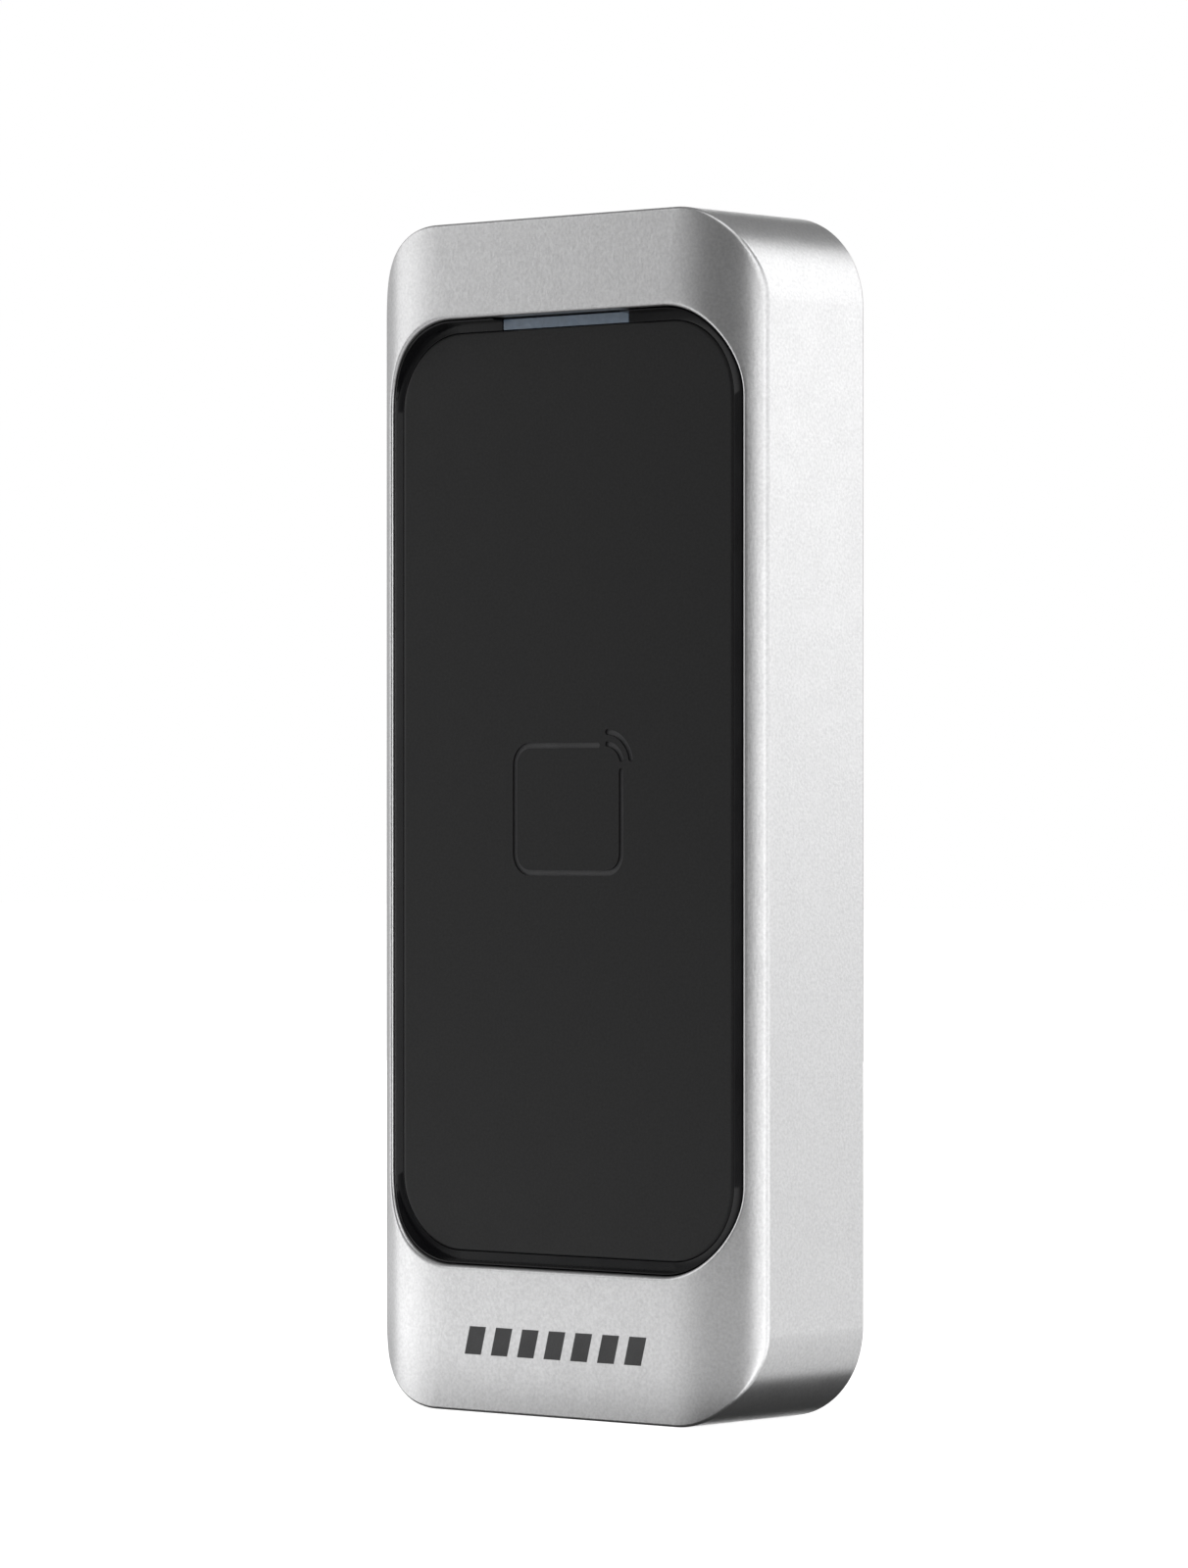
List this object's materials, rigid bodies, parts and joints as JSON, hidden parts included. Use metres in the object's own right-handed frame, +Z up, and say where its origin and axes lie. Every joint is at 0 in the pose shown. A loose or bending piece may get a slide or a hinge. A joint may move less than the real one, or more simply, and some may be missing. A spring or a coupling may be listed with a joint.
{
  "type": "rfid card reader",
  "caption": "Slim upright card reader: arched silver bezel round a recessed black panel with an engraved card icon, on a hooked steel wall plate.",
  "frame": {"origin": "centre of the wall plate's rear face, on the wall", "axes": "+Z up along the case, +Y into the wall, the front faces -Y"},
  "size_m": [0.0526, 0.0195, 0.125],
  "materials": {
    "zinc_steel": "zinc-plated sheet steel, faintly rolled",
    "screw_steel": "bright plated steel",
    "silver_paint": "fine-grained metallic silver paint, semi-gloss",
    "gloss_black": "polished black polycarbonate",
    "satin_black": "smooth satin black",
    "adhesive": "double-sided foam film",
    "light_guide": "smoky translucent blue-grey",
    "circuit_board": "green solder mask over copper",
    "copper": "masked copper",
    "led_white": "clear lens on white",
    "chip_black": "fine matt moulding compound",
    "tinned": "tinned leads",
    "ferrite": "sintered ferrite",
    "capacitor_can": "drawn aluminium can",
    "crystal_can": "nickel can",
    "chip_ceramic": "ceramic with tinned ends",
    "connector_white": "natural nylon",
    "gold_pins": "gold-flashed pins",
    "dip_blue": "blue thermoplastic",
    "dip_white": "white thermoplastic",
    "plunger_white": "white acetal",
    "spring_steel": "drawn music wire",
    "rubber_black": "soft black rubber",
    "rubber_grey": "dark grey silicone rubber",
    "moulded_black": "fine spark-eroded texture"
  },
  "bodies": {
    "wall_plate": {"wall_plate": "zinc_steel"},
    "reader": {"front_bezel": "silver_paint", "inner_housing": "gloss_black", "window_panel": "satin_black", "panel_adhesive": "adhesive", "light_guide": "light_guide", "main_board": "circuit_board", "antenna_coil": "copper", "status_leds": "led_white", "rf_chip": "chip_black", "controller_chip": "chip_black", "controller_pins": "tinned", "line_driver_chip": "chip_black", "line_driver_pins": "tinned", "voltage_regulator": "chip_black", "power_inductor": "ferrite", "bulk_capacitors": "capacitor_can", "surge_diodes": "chip_black", "crystals": "crystal_can", "chip_components": "chip_ceramic", "buzzer": "chip_black", "harness_socket": "connector_white", "harness_pins": "gold_pins", "dip_switch_body": "dip_blue", "tamper_switch_body": "chip_black", "tamper_spring": "spring_steel", "cable_grommet": "rubber_black", "housing_gasket": "rubber_grey", "rear_cover": "moulded_black", "cover_screws": "screw_steel", "board_screws": "screw_steel"},
    "lock_screw": {"lock_screw": "screw_steel"},
    "tamper_plunger": {"tamper_plunger": "plunger_white"},
    "dip_slider_1": {"dip_slider_1": "dip_white"},
    "dip_slider_2": {"dip_slider_2": "dip_white"},
    "dip_slider_3": {"dip_slider_3": "dip_white"},
    "dip_slider_4": {"dip_slider_4": "dip_white"}
  },
  "joints": [
    {"name": "reader_swing", "type": "hinge", "parent": "wall_plate", "child": "reader", "pos_m": [0, -0.0023, 0.05865], "axis": [-1, 0, 0], "range_deg": [0, 8]},
    {"name": "lock_screw_travel", "type": "slide", "parent": "wall_plate", "child": "lock_screw", "axis": [0, 0, -1], "range_m": [0, 0.0025]},
    {"name": "tamper_press", "type": "slide", "parent": "reader", "child": "tamper_plunger", "axis": [0, -1, 0], "range_m": [0, 0.0012], "stiffness_N_per_m": 150, "springref_m": -0.001, "deforming": ["tamper_spring"]},
    {"name": "dip_1_slide", "type": "slide", "parent": "reader", "child": "dip_slider_1", "axis": [0, 0, 1], "range_m": [0, 0.001]},
    {"name": "dip_2_slide", "type": "slide", "parent": "reader", "child": "dip_slider_2", "axis": [0, 0, 1], "range_m": [0, 0.001]},
    {"name": "dip_3_slide", "type": "slide", "parent": "reader", "child": "dip_slider_3", "axis": [0, 0, 1], "range_m": [0, 0.001]},
    {"name": "dip_4_slide", "type": "slide", "parent": "reader", "child": "dip_slider_4", "axis": [0, 0, 1], "range_m": [0, 0.001]}
  ]
}
